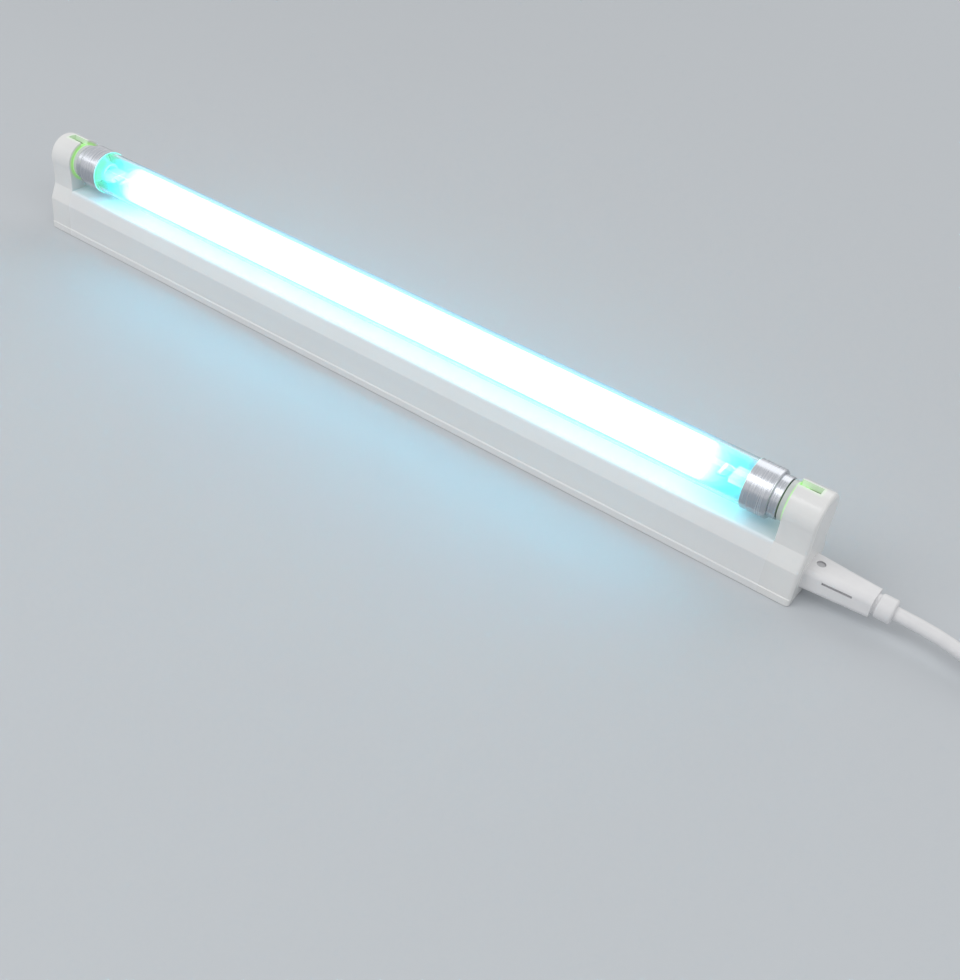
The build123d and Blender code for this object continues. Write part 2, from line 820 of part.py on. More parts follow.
def tail_points():
    """Route of the cord's end, from the second row of the hank to the plug."""
    fold = hank_fold()
    start = (fold.X + hank_run, lead_points()[-1][1], 1.5 * cord_diameter)
    return [(start[0] + x, start[1] + y, start[2] + z) for x, y, z in tail_route]


def cord_hank():
    """Outer shape of the tied turns, with the two ends that leave it."""
    end = lead_points()[-1]
    hank = hank_ring() - cord_tie()
    hank += bar(cord_diameter, end[0], hank_fold().X, end[1], end[2])
    return hank + tube_along(tail_points(), cord_diameter)


def plug_place():
    """End of the cord, where the plug's sleeve begins."""
    return Pos(*tail_points()[-1]) * Rot(0, 0, -90)


def plug_body():
    """Flat two-pin plug with sloped shoulders and a tapered sleeve."""
    wide, slim = plug_width / 2, plug_neck_width / 2
    right = [(slim, 0), (wide, plug_shoulder), (wide, plug_length)]
    left = [(-x, y) for x, y in reversed(right)]
    outline = make_face(Polyline(*right, *left, close=True))
    outline = fillet(outline.vertices(), plug_edge_radius)
    body = extrude(outline, plug_thickness / 2, both=True)
    body = fillet(body.faces().filter_by(Axis.Z).edges(), plug_edge_radius)
    sleeve = Cone(plug_sleeve_diameter / 2, plug_sleeve_base / 2, plug_sleeve_length + plug_edge_radius)
    sleeve = Pos(0, (plug_edge_radius - plug_sleeve_length) / 2, 0) * Rot(-90, 0, 0) * sleeve
    body = Pos(0, plug_sleeve_length, 0) * (body + sleeve)
    return plug_place() * body


def plug_pins():
    """Two round plug pins with rounded tips."""
    pin = Cylinder(plug_pin_diameter / 2, plug_pin_length, align=(Align.CENTER, Align.CENTER, Align.MIN))
    pin = fillet(pin.faces().sort_by(Axis.Z)[-1].edges(), plug_pin_tip_radius)
    face_y = plug_sleeve_length + plug_length
    places = [Pos(side * plug_pin_spacing / 2, face_y, 0) * Rot(-90, 0, 0) for side in (-1, 1)]
    return group(*[plug_place() * place * pin for place in places])


def lamp_ends():
    """Pieces that each end of the lamp has, right end and its mirror image."""
    makers = {
        "rotor": right_rotor,
        "contacts": right_contacts,
        "lamp_cap": right_lamp_cap,
        "pin_plate": right_pin_plate,
        "pins": right_pins,
        "leads": right_leads,
        "stem": right_stem,
        "cathode": right_cathode,
        "lamp_wires": right_lamp_wires,
    }
    pieces = {}
    for name, make in makers.items():
        piece = make()
        pieces["right_" + name] = piece
        pieces["left_" + name] = other_end(piece)
    return pieces


def all_pieces():
    """Every piece of the lamp under its own name."""
    pieces = lamp_ends()
    pieces["right_end_cap"] = right_end_cap()
    pieces["left_end_cap"] = other_end(plain_end_cap())
    makers = (
        housing,
        base_tray,
        glass_tube,
        ballast_board,
        choke_core,
        choke_winding,
        smoothing_capacitor,
        film_capacitors,
        transistors,
        drive_ring,
        diodes,
        inlet_wires,
        inlet_pins,
        cord_connector,
        connector_sockets,
        cord_hank,
        cord_tie,
        plug_body,
        plug_pins,
    )
    for make in makers:
        pieces[make.__name__] = make()
    pieces["cord_lead"] = tube_along(lead_points(), cord_diameter)
    return pieces


os.makedirs("parts", exist_ok=True)
for name, piece in all_pieces().items():
    export_step(piece, f"parts/{name}.step")
for end, route in (("lead", lead_points()), ("tail", tail_points())):
    print(end, "bend radii", [round(radius, 1) for radius in bend_radii(route)])
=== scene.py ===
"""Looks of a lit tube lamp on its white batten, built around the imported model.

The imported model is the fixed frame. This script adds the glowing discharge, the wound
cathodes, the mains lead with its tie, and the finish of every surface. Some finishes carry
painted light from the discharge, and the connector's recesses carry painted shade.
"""

import logging
import math
from dataclasses import dataclass, field, replace
from enum import Enum
from typing import ClassVar

import bmesh
import bpy
from mathutils import Matrix, Vector


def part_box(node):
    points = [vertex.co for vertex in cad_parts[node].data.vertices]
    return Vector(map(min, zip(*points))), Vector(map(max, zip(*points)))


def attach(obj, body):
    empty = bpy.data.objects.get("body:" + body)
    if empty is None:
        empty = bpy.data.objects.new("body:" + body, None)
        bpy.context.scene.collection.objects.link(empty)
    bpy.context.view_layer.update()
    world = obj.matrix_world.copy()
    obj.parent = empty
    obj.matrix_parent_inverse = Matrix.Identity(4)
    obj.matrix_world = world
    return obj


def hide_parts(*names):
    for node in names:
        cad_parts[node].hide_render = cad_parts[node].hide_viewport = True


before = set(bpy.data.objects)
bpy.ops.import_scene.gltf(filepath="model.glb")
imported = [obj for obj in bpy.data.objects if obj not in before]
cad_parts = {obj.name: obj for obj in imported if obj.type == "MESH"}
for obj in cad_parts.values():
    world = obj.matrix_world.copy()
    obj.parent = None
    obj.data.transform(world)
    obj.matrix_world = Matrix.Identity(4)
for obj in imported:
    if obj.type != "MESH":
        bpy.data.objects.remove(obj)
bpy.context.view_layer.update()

LOG = logging.getLogger("tube_lamp")
MM = 0.001
MICRON = 0.000001
AXIS_HEIGHT = 27.2 * MM

Colour = tuple[float, float, float]
Point = tuple[float, float, float]
Socket = bpy.types.NodeSocket
Value = float | Socket
Edge = tuple[Socket, float, float]


class Body(Enum):
    """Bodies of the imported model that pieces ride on."""

    FIXTURE = "fixture"
    LAMP = "lamp"


class Pattern(Enum):
    """Stretch of a finish's grain along X, Y and Z."""

    MOTTLED = (1.0, 1.0, 1.0)
    DRAWN = (0.04, 1.0, 1.0)
    TURNED = (1.0, 0.04, 0.04)
    WOUND = (0.05, 0.05, 1.0)
    CLOUDED = (0.2, 1.0, 1.0)


class Side(Enum):
    """End of the lamp, with its sign along X."""

    LEFT = -1
    RIGHT = 1

    @property
    def prefix(self) -> str:
        """Start of the names of the pieces at this end."""
        return self.name.lower()


class Shader:
    """Node tree of one new material, with short calls for its nodes and links."""

    def __init__(self, name: str) -> None:
        """Start an empty tree with its output and its main surface node.

        Args:
            name: Name of the new material.
        """
        self.material = bpy.data.materials.new(name)
        self.material.use_nodes = True
        self.tree = self.material.node_tree
        self.tree.nodes.clear()
        self.surface = self.node("ShaderNodeBsdfPrincipled")
        output = self.node("ShaderNodeOutputMaterial")
        self.link(self.surface.outputs["BSDF"], output.inputs["Surface"])
        self.place = self.node("ShaderNodeTexCoord").outputs["Object"]

    def node(self, kind: str) -> bpy.types.Node:
        """Return a new node of the given kind."""
        return self.tree.nodes.new(kind)

    def link(self, start: Socket, end: Socket) -> None:
        """Join an output socket to an input socket."""
        self.tree.links.new(start, end)

    def set(self, **values: object) -> None:
        """Set constant values on the surface node's own sockets.

        Args:
            values: Socket names in lower case with underscores, and their values.
        """
        for name, value in values.items():
            socket = name.replace("_", " ").title().replace("Ior", "IOR")
            self.surface.inputs[socket].default_value = value

    def noise(self, stretch: Point, scale: float, detail: float = 5.0) -> Socket:
        """Add grain fixed to the piece.

        Args:
            stretch: Scale of the grain along X, Y and Z.
            scale: Grains to the metre.
            detail: Number of finer octaves.

        Returns:
            Socket with the grain's height, around a half.
        """
        mapping = self.node("ShaderNodeMapping")
        mapping.inputs["Scale"].default_value = stretch
        grain = self.node("ShaderNodeTexNoise")
        grain.inputs["Scale"].default_value = scale
        grain.inputs["Detail"].default_value = detail
        self.link(self.place, mapping.inputs["Vector"])
        self.link(mapping.outputs["Vector"], grain.inputs["Vector"])
        return grain.outputs["Fac"]

    def ramp(self, value: Socket, stops: dict[float, Colour]) -> Socket:
        """Turn a value into a colour.

        Args:
            value: Socket to read.
            stops: Two positions from 0 to 1, in order, and their colours.

        Returns:
            Socket with the colour.
        """
        ramp = self.node("ShaderNodeValToRGB")
        for element, (position, colour) in zip(ramp.color_ramp.elements, stops.items()):
            element.position = position
            element.color = (*colour, 1.0)
        self.link(value, ramp.inputs["Fac"])
        return ramp.outputs["Color"]

    def between(self, value: Socket, source: tuple[float, float], result: tuple[float, Value]) -> Socket:
        """Bring a value from one range to another, with soft ends.

        Args:
            value: Socket to read.
            source: Values at the two ends of the source range.
            result: Value at the start of the result range, and value or socket at its end.

        Returns:
            Socket with the new value.
        """
        change = self.node("ShaderNodeMapRange")
        change.interpolation_type = "SMOOTHSTEP"
        numbers = (*source, *result)
        for name, number in zip(("From Min", "From Max", "To Min", "To Max"), numbers):
            if isinstance(number, Socket):
                self.link(number, change.inputs[name])
            else:
                change.inputs[name].default_value = number
        self.link(value, change.inputs["Value"])
        return change.outputs["Result"]

    def distance(self, axis: str, middle: float = 0.0) -> Socket:
        """Return a socket with the distance along one axis from a middle, without its sign."""
        parts = self.node("ShaderNodeSeparateXYZ")
        offset = self.node("ShaderNodeMath")
        offset.operation = "SUBTRACT"
        offset.inputs[1].default_value = middle
        size = self.node("ShaderNodeMath")
        size.operation = "ABSOLUTE"
        self.link(self.place, parts.inputs["Vector"])
        self.link(parts.outputs[axis], offset.inputs[0])
        self.link(offset.outputs["Value"], size.inputs[0])
        return size.outputs["Value"]

    def reach(self) -> Socket:
        """Return a socket with the distance from the lamp's middle along its length."""
        return self.distance("X")

    def across(self) -> Socket:
        """Return a socket with the distance from the lamp's middle plane."""
        return self.distance("Y")

    def height(self) -> Socket:
        """Return a socket with the height above the floor."""
        return self.distance("Z")

    def axis_distance(self) -> Socket:
        """Return a socket with the distance from the tube's axis."""
        return self.length((0.0, 1.0, 1.0), AXIS_HEIGHT)

    def floor_distance(self) -> Socket:
        """Return a socket with the distance from the lamp's middle along the floor."""
        return self.length((1.0, 1.0, 0.0), 0.0)

    def length(self, axes: Point, height: float) -> Socket:
        """Measure the distance from a point over the lamp's middle.

        Args:
            axes: 1 for each axis that counts and 0 for the others.
            height: Height of the point.

        Returns:
            Socket with the distance.
        """
        mapping = self.node("ShaderNodeMapping")
        mapping.inputs["Location"].default_value = (0.0, 0.0, -height)
        mapping.inputs["Scale"].default_value = axes
        length = self.node("ShaderNodeVectorMath")
        length.operation = "LENGTH"
        self.link(self.place, mapping.inputs["Vector"])
        self.link(mapping.outputs["Vector"], length.inputs[0])
        return length.outputs["Value"]

    def zone(self, full: float, *edges: Edge) -> Socket:
        """Mark out a part of the piece.

        Args:
            full: Value inside all the edges; it falls to 0 outside any of them.
            edges: For each edge, a socket to read and its values outside and inside.

        Returns:
            Socket with the value.
        """
        share = full
        for value, outside, inside in edges:
            share = self.between(value, (outside, inside), (0.0, share))
        return share

    def larger(self, first: Socket, second: Socket) -> Socket:
        """Return a socket with the larger of two values."""
        choice = self.node("ShaderNodeMath")
        choice.operation = "MAXIMUM"
        self.link(first, choice.inputs[0])
        self.link(second, choice.inputs[1])
        return choice.outputs["Value"]

    def overlay(self, share: Socket, colour: Colour) -> None:
        """Lay a colour over the base colour.

        Args:
            share: Socket with the share of the new colour, from 0 to 1.
            colour: The new colour.
        """
        base = self.surface.inputs["Base Color"]
        mix = self.node("ShaderNodeMixRGB")
        self.link(share, mix.inputs["Fac"])
        self.link(base.links[0].from_socket, mix.inputs["Color1"])
        mix.inputs["Color2"].default_value = (*colour, 1.0)
        self.link(mix.outputs["Color"], base)

    def relief(self, height: Socket, depth: float) -> None:
        """Raise the surface by a height.

        Args:
            height: Socket with the height, from 0 to 1.
            depth: Real depth of the relief in metres.
        """
        bump = self.node("ShaderNodeBump")
        bump.inputs["Strength"].default_value = 1.0
        bump.inputs["Distance"].default_value = depth
        self.link(height, bump.inputs["Height"])
        self.link(bump.outputs["Normal"], self.surface.inputs["Normal"])


def seen_rays(tree: bpy.types.NodeTree) -> Socket:
    """Tell what the camera sees, by itself or in metal and glass, from what lights the scene.

    Args:
        tree: Node tree to add to.

    Returns:
        Socket with 1 for what is seen, or else 0.
    """
    path = tree.nodes.new("ShaderNodeLightPath")
    seen = path.outputs["Is Camera Ray"]
    for name in ("Is Glossy Ray", "Is Transmission Ray"):
        either = tree.nodes.new("ShaderNodeMath")
        either.operation = "MAXIMUM"
        tree.links.new(seen, either.inputs[0])
        tree.links.new(path.outputs[name], either.inputs[1])
        seen = either.outputs["Value"]
    return seen


@dataclass(frozen=True)
class Finish:
    """Procedural surface: two tints, a grain, a range of gloss and a fine relief."""

    name: str
    light: Colour
    dark: Colour
    grain: float = 90.0
    pattern: Pattern = Pattern.MOTTLED
    gloss: tuple[float, float] = (0.3, 0.4)
    relief_grain: float = 2600.0
    relief: float = 6 * MICRON
    metallic: float = 0.0
    coat: float = 0.0
    clarity: float = 0.0
    index: float = 1.46
    glow: Colour = (0.0, 0.0, 0.0)
    glow_strength: float = 0.0
    tint_span: ClassVar[tuple[float, float]] = (0.32, 0.68)
    gloss_span: ClassVar[tuple[float, float]] = (0.3, 0.7)
    relief_detail: ClassVar[float] = 2.0

    def shader(self) -> Shader:
        """Return the node tree of this finish."""
        shader = Shader(self.title)
        grain = shader.noise(self.pattern.value, self.grain)
        low, high = self.tint_span
        tint = shader.ramp(grain, {low: self.dark, high: self.light})
        shader.link(tint, shader.surface.inputs["Base Color"])
        gloss = shader.between(grain, self.gloss_span, self.gloss)
        shader.link(gloss, shader.surface.inputs["Roughness"])
        height = shader.noise(self.pattern.value, self.relief_grain, self.relief_detail)
        shader.relief(height, self.relief)
        shader.set(metallic=self.metallic, coat_weight=self.coat, ior=self.index)
        shader.set(transmission_weight=self.clarity)
        shader.set(emission_color=(*self.glow, 1.0), emission_strength=self.glow_strength)
        return shader

    @property
    def title(self) -> str:
        """Name of the material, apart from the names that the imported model's own ones have."""
        return f"{self.name}_finish"

    def material(self) -> bpy.types.Material:
        """Return the finished material, made once for each name."""
        return bpy.data.materials.get(self.title) or self.shader().material


@dataclass(frozen=True)
class RotorPlastic(Finish):
    """Plastic whose green colour and glow are painted fluorescent light, strongest where it enters the
    mouth of the lampholder.
    """

    dim_to: float = 145.6 * MM
    bright_from: float = 146.3 * MM
    collar: Colour = (0.62, 0.65, 0.65)

    def shader(self) -> Shader:
        """Return the node tree, with a painted glow that grows from the collar, in painted shade,
        towards the mouth.
        """
        shader = super().shader()
        # Painted shade: the collar is greyer; painted light: the glow rises towards the mouth
        shader.overlay(shader.zone(1.0, (shader.reach(), self.bright_from, self.dim_to)), self.collar)
        strength = shader.zone(self.glow_strength, (shader.reach(), self.dim_to, self.bright_from))
        shader.link(strength, shader.surface.inputs["Emission Strength"])
        return shader


@dataclass(frozen=True)
class BattenPlastic(Finish):
    """White plastic, with painted light from the tube on the flat top that lies close under it."""

    top: float = 17.5 * MM
    bleed: float = 1.6 * MM
    full_to: float = 110.0 * MM
    gone_at: float = 165.0 * MM
    blue_share: float = 0.4
    end_glow: Colour = (0.02, 0.62, 0.9)

    def shader(self) -> Shader:
        """Return the node tree, with the tube's light painted on the flat top, turning blue towards the
        ends.
        """
        shader = super().shader()
        # Painted light: emission on the flat top stands for the tube's light falling on it
        along = (shader.reach(), self.gone_at, self.full_to)
        on_top = (shader.height(), self.top - self.bleed, self.top)
        colour = shader.ramp(shader.zone(1.0, along), {self.blue_share: self.end_glow, 1.0: self.glow})
        shader.link(colour, shader.surface.inputs["Emission Color"])
        strength = shader.zone(self.glow_strength, along, on_top)
        shader.link(strength, shader.surface.inputs["Emission Strength"])
        return shader


@dataclass(frozen=True)
class HolderPlastic(Finish):
    """White moulded plastic, with painted green light round the pin entry slot and on the face behind
    the rotor.
    """

    slot_half_width: float = 1.6 * MM
    slot_end: float = 153.4 * MM
    slot_floor: float = 30.0 * MM
    bleed: float = 1.2 * MM
    face: float = 146.6 * MM
    face_skin: float = 0.4 * MM
    ring_radius: float = 6.8 * MM
    ring_edge: float = 7.7 * MM
    ring_strength: float = 0.13
    ring_light_colour: Colour = (0.54, 0.78, 0.38)

    def shader(self) -> Shader:
        """Return the node tree, with painted light beside the slot and round the rotor."""
        shader = super().shader()
        # Painted light: the glow beside the slot stands for the tube's light leaking out through it
        slot = shader.zone(
            self.glow_strength,
            (shader.reach(), self.slot_end + self.bleed, self.slot_end),
            (shader.across(), self.slot_half_width + self.bleed, self.slot_half_width),
            (shader.height(), self.slot_floor, self.slot_floor + self.bleed),
        )
        # Painted light: the green colour and glow on the face round the rotor stand for the rotor's
        # light falling on it
        face = (shader.reach(), self.face + self.face_skin, self.face)
        ring = (shader.axis_distance(), self.ring_edge, self.ring_radius)
        strength = shader.larger(slot, shader.zone(self.ring_strength, face, ring))
        shader.overlay(shader.zone(1.0, face, ring), self.ring_light_colour)
        shader.link(strength, shader.surface.inputs["Emission Strength"])
        return shader


@dataclass(frozen=True)
class CapMetal(Finish):
    """Turned metal, with painted light from the discharge on its rim and on the pale cement inside,
    behind the glass.
    """

    rim: float = 133.25 * MM
    rim_skin: float = 0.15 * MM
    rim_strength: float = 0.9
    cement_outside: float = 7.72 * MM
    cement_radius: float = 7.62 * MM
    cement_end: float = 140.2 * MM
    cement_strength: float = 0.35
    cement: Colour = (0.55, 0.85, 0.5)
    cement_glow: Colour = (0.35, 1.0, 0.5)

    def shader(self) -> Shader:
        """Return the node tree, with the rim and the cement apart from the metal, both carrying painted
        light.
        """
        shader = super().shader()
        inside = (shader.axis_distance(), self.cement_outside, self.cement_radius)
        depth = (shader.reach(), self.cement_end + self.rim_skin, self.cement_end)
        rim = (shader.reach(), self.rim + self.rim_skin, self.rim)
        # Painted light: the cement's green colour and glow stand for the discharge's light over its pale
        # colour
        shader.overlay(shader.zone(1.0, inside, depth), self.cement)
        bare = shader.between(shader.zone(1.0, inside, depth), (0.0, 1.0), (self.metallic, 0.0))
        shader.link(bare, shader.surface.inputs["Metallic"])
        # Painted light: the glow on the rim stands for the discharge's light on it
        lit_rim = shader.zone(self.rim_strength, rim)
        strength = shader.larger(lit_rim, shader.zone(self.cement_strength, inside, depth))
        colour = shader.ramp(shader.zone(1.0, rim), {0.0: self.cement_glow, 1.0: self.glow})
        shader.link(strength, shader.surface.inputs["Emission Strength"])
        shader.link(colour, shader.surface.inputs["Emission Color"])
        return shader


@dataclass(frozen=True)
class QuartzGlass(Finish):
    """Clear tube, with a little of the discharge's light painted on its wall as glow."""

    full_to: float = 112.0 * MM
    gone_at: float = 128.0 * MM

    def shader(self) -> Shader:
        """Return the node tree, with a painted glow that ends before the caps."""
        shader = super().shader()
        strength = shader.zone(self.glow_strength, (shader.reach(), self.gone_at, self.full_to))
        shader.link(strength, shader.surface.inputs["Emission Strength"])
        return shader


@dataclass(frozen=True)
class StemGlass(Finish):
    """Pale glass with painted light from the discharge, stronger towards it."""

    tip: float = 127.6 * MM
    root: float = 134.0 * MM
    tip_strength: float = 1.1
    tip_glow: Colour = (0.5, 1.0, 0.96)

    def shader(self) -> Shader:
        """Return the node tree, with a painted glow that grows from the root to the tip."""
        shader = super().shader()
        nearness = shader.between(shader.reach(), (self.root, self.tip), (0.0, 1.0))
        strength = shader.between(nearness, (0.0, 1.0), (self.glow_strength, self.tip_strength))
        colour = shader.ramp(nearness, {0.0: self.glow, 1.0: self.tip_glow})
        shader.link(strength, shader.surface.inputs["Emission Strength"])
        shader.link(colour, shader.surface.inputs["Emission Color"])
        return shader


@dataclass(frozen=True)
class ConnectorPlastic(Finish):
    """White moulded plastic, with painted shade in the connector's dimple and grip lines.

    Each recess is given by its middle and its half sizes.
    """

    recesses: tuple[tuple[Point, Point], ...] = (
        ((159.8 * MM, 0.0, 11.6 * MM), (1.45 * MM, 1.45 * MM, 0.25 * MM)),
        ((167.25 * MM, 0.0, 9.5 * MM), (4.55 * MM, 6.0 * MM, 0.37 * MM)),
    )
    recess_shade: Colour = (0.48, 0.48, 0.5)
    softness: float = 0.05 * MM

    def shader(self) -> Shader:
        """Return the node tree, with painted shade in the recesses."""
        shader = super().shader()
        # Painted shade: each recess is darkened
        for middles, half_sizes in self.recesses:
            edges = [
                (shader.distance(axis, middle), half + self.softness, half)
                for axis, middle, half in zip("XYZ", middles, half_sizes)
            ]
            shader.overlay(shader.zone(1.0, *edges), self.recess_shade)
        return shader


@dataclass(frozen=True)
class SleevedPin(Finish):
    """Plated pin with a dark insulating sleeve over its root."""

    sleeve_end: float = 404.0 * MM
    sleeve_edge: float = 0.15 * MM
    sleeve: Colour = (0.05, 0.05, 0.055)

    def shader(self) -> Shader:
        """Return the node tree, with the sleeve apart from the metal."""
        shader = super().shader()
        edge = (self.sleeve_end - self.sleeve_edge, self.sleeve_end + self.sleeve_edge)
        shader.overlay(shader.between(shader.reach(), edge, (1.0, 0.0)), self.sleeve)
        bare = shader.between(shader.reach(), edge, (0.0, self.metallic))
        shader.link(bare, shader.surface.inputs["Metallic"])
        return shader


@dataclass(frozen=True)
class FloorPaper(Finish):
    """Pale paper that looks even past the reach of the soft lights."""

    even_to: float = 0.5
    lifted_from: float = 2.2

    def shader(self) -> Shader:
        """Return the node tree, with a lift of the far floor that lights nothing."""
        shader = super().shader()
        reach = (self.even_to, self.lifted_from)
        lift = shader.between(shader.floor_distance(), reach, (0.0, self.glow_strength))
        seen = shader.between(seen_rays(shader.tree), (0.0, 1.0), (0.0, lift))
        shader.link(seen, shader.surface.inputs["Emission Strength"])
        return shader


@dataclass(frozen=True)
class DischargeGlow:
    """Light of the mercury vapour, which thins out towards the ends of the tube."""

    name: str
    colour: Colour
    tip: Colour
    strength: float
    body: float
    full_to: float
    gone_at: float
    tip_share: ClassVar[float] = 0.15
    column_share: ClassVar[float] = 0.75
    cloud_grain: ClassVar[float] = 160.0
    cloud_span: ClassVar[tuple[float, float]] = (0.2, 0.8)
    unevenness: ClassVar[float] = 0.04

    def material(self) -> bpy.types.Material:
        """Return the glowing material."""
        shader = Shader(self.name)
        span = (self.full_to, self.gone_at)
        fade = shader.between(shader.reach(), span, (1.0, 0.0))
        colour = shader.ramp(fade, {self.tip_share: self.tip, self.column_share: self.colour})
        cloud = shader.noise(Pattern.CLOUDED.value, self.cloud_grain)
        swing = self.unevenness * self.strength
        strength = shader.between(cloud, self.cloud_span, (self.strength - swing, self.strength + swing))
        thinness = shader.between(shader.reach(), span, (self.body, 0.0))
        shader.link(colour, shader.surface.inputs["Emission Color"])
        shader.link(strength, shader.surface.inputs["Emission Strength"])
        shader.link(thinness, shader.surface.inputs["Alpha"])
        shader.link(colour, shader.surface.inputs["Base Color"])
        shader.set(roughness=1.0)
        return shader.material


BATTEN_WHITE = BattenPlastic(
    "batten_white", (0.8, 0.81, 0.815), (0.765, 0.775, 0.785), grain=70.0, pattern=Pattern.DRAWN,
    gloss=(0.3, 0.4), glow=(0.5, 0.95, 1.0), glow_strength=0.35,
)
TRAY_WHITE = Finish(
    "tray_white", (0.79, 0.8, 0.805), (0.755, 0.765, 0.775), grain=80.0, pattern=Pattern.DRAWN,
    gloss=(0.36, 0.46),
)
HOLDER_WHITE = HolderPlastic(
    "holder_white", (0.81, 0.815, 0.81), (0.78, 0.785, 0.785), grain=55.0, gloss=(0.17, 0.24),
    coat=0.25, glow=(0.36, 1.0, 0.22), glow_strength=0.12,
)
# The rotor's green colours and glow are painted fluorescent light; the plastic itself is whitish
ROTOR_LIT_GREEN = RotorPlastic(
    "rotor_lit_green", (0.6, 0.76, 0.54), (0.52, 0.69, 0.46), gloss=(0.3, 0.42),
    glow=(0.36, 1.0, 0.22), glow_strength=0.35,
)
QUARTZ = QuartzGlass(
    "quartz", (0.72, 0.95, 1.0), (0.68, 0.93, 1.0), grain=40.0, pattern=Pattern.DRAWN,
    gloss=(0.0, 0.03), relief=1 * MICRON, clarity=1.0, glow=(0.02, 0.6, 1.0), glow_strength=0.12,
)
ARC_GLOW = DischargeGlow(
    "arc_light", (0.56, 0.95, 1.0), (0.4, 0.93, 1.0), strength=8.0, body=1.0,
    full_to=111.5 * MM, gone_at=123.5 * MM,
)
HAZE_GLOW = DischargeGlow(
    "haze_light", (0.02, 0.75, 1.0), (0.02, 0.72, 1.0), strength=1.9, body=0.2,
    full_to=115.0 * MM, gone_at=138.0 * MM,
)
STEM_GLASS = StemGlass(
    "stem_glass", (0.78, 0.98, 0.88), (0.66, 0.95, 0.76), grain=160.0, gloss=(0.06, 0.14),
    relief=4 * MICRON, clarity=0.5, index=1.5, glow=(0.34, 1.0, 0.6), glow_strength=0.3,
)
CAP_ALUMINIUM = CapMetal(
    "cap_aluminium", (0.53, 0.55, 0.59), (0.47, 0.49, 0.53), grain=2200.0, pattern=Pattern.TURNED,
    gloss=(0.2, 0.29), relief_grain=3600.0, relief=0.15 * MICRON, metallic=1.0, glow=(0.2, 1.0, 0.95),
)
# The insulator's glow is painted green light from the discharge
PLATE_INSULATOR = Finish(
    "plate_insulator", (0.62, 0.66, 0.5), (0.52, 0.56, 0.42), gloss=(0.5, 0.65),
    glow=(0.45, 1.0, 0.35), glow_strength=0.12,
)
PIN_BRASS = Finish(
    "pin_brass", (0.8, 0.68, 0.4), (0.7, 0.57, 0.32), grain=900.0, pattern=Pattern.TURNED,
    gloss=(0.2, 0.34), metallic=1.0,
)
CONTACT_STRIP = Finish(
    "contact_strip", (0.74, 0.54, 0.35), (0.64, 0.45, 0.28), grain=500.0, pattern=Pattern.WOUND,
    gloss=(0.24, 0.38), metallic=1.0,
)
LEAD_WIRE = Finish(
    "lead_wire", (0.68, 0.67, 0.64), (0.54, 0.53, 0.51), grain=1200.0, gloss=(0.28, 0.42), metallic=1.0
)
CATHODE_COAT = Finish(
    "cathode_coat", (0.9, 0.9, 0.86), (0.75, 0.76, 0.74), grain=1800.0, gloss=(0.55, 0.75),
    glow=(0.72, 0.95, 1.0), glow_strength=1.6,
)
BOARD_GREEN = Finish(
    "board_green", (0.11, 0.36, 0.22), (0.07, 0.26, 0.15), grain=220.0, gloss=(0.32, 0.45)
)
FERRITE = Finish(
    "ferrite", (0.15, 0.15, 0.16), (0.09, 0.09, 0.1), grain=500.0, gloss=(0.5, 0.7), relief=20 * MICRON
)
COPPER_WINDING = Finish(
    "copper_winding", (0.74, 0.38, 0.2), (0.48, 0.2, 0.09), grain=900.0, pattern=Pattern.WOUND,
    gloss=(0.25, 0.4), relief_grain=1600.0, relief=60 * MICRON, metallic=1.0,
)
CAPACITOR_SLEEVE = Finish(
    "capacitor_sleeve", (0.1, 0.11, 0.19), (0.06, 0.07, 0.13), grain=120.0, gloss=(0.22, 0.32)
)
CAPACITOR_BLOCK = Finish(
    "capacitor_block", (0.62, 0.22, 0.13), (0.52, 0.16, 0.1), grain=150.0, gloss=(0.3, 0.42)
)
CHIP_BLACK = Finish(
    "chip_black", (0.07, 0.07, 0.07), (0.04, 0.04, 0.04), grain=600.0, gloss=(0.5, 0.65),
    relief=10 * MICRON,
)
LAMP_WIRE = Finish("lamp_wire", (0.84, 0.83, 0.79), (0.76, 0.75, 0.71), grain=200.0, gloss=(0.38, 0.5))
INLET_WIRE = Finish("inlet_wire", (0.33, 0.24, 0.17), (0.26, 0.18, 0.13), grain=200.0, gloss=(0.38, 0.5))
CONNECTOR_WHITE = ConnectorPlastic(
    "connector_white", (0.8, 0.8, 0.81), (0.755, 0.755, 0.77), grain=180.0, gloss=(0.34, 0.46),
    relief=12 * MICRON,
)
CORD_WHITE = Finish(
    "cord_white", (0.79, 0.79, 0.8), (0.74, 0.74, 0.755), grain=220.0, gloss=(0.38, 0.5),
    relief=10 * MICRON,
)
TIE_GREY = Finish("tie_grey", (0.78, 0.78, 0.79), (0.68, 0.68, 0.69), grain=300.0, gloss=(0.35, 0.5))
PLUG_METAL = SleevedPin(
    "plug_metal", (0.82, 0.81, 0.79), (0.7, 0.69, 0.66), grain=900.0, gloss=(0.14, 0.26), metallic=1.0
)


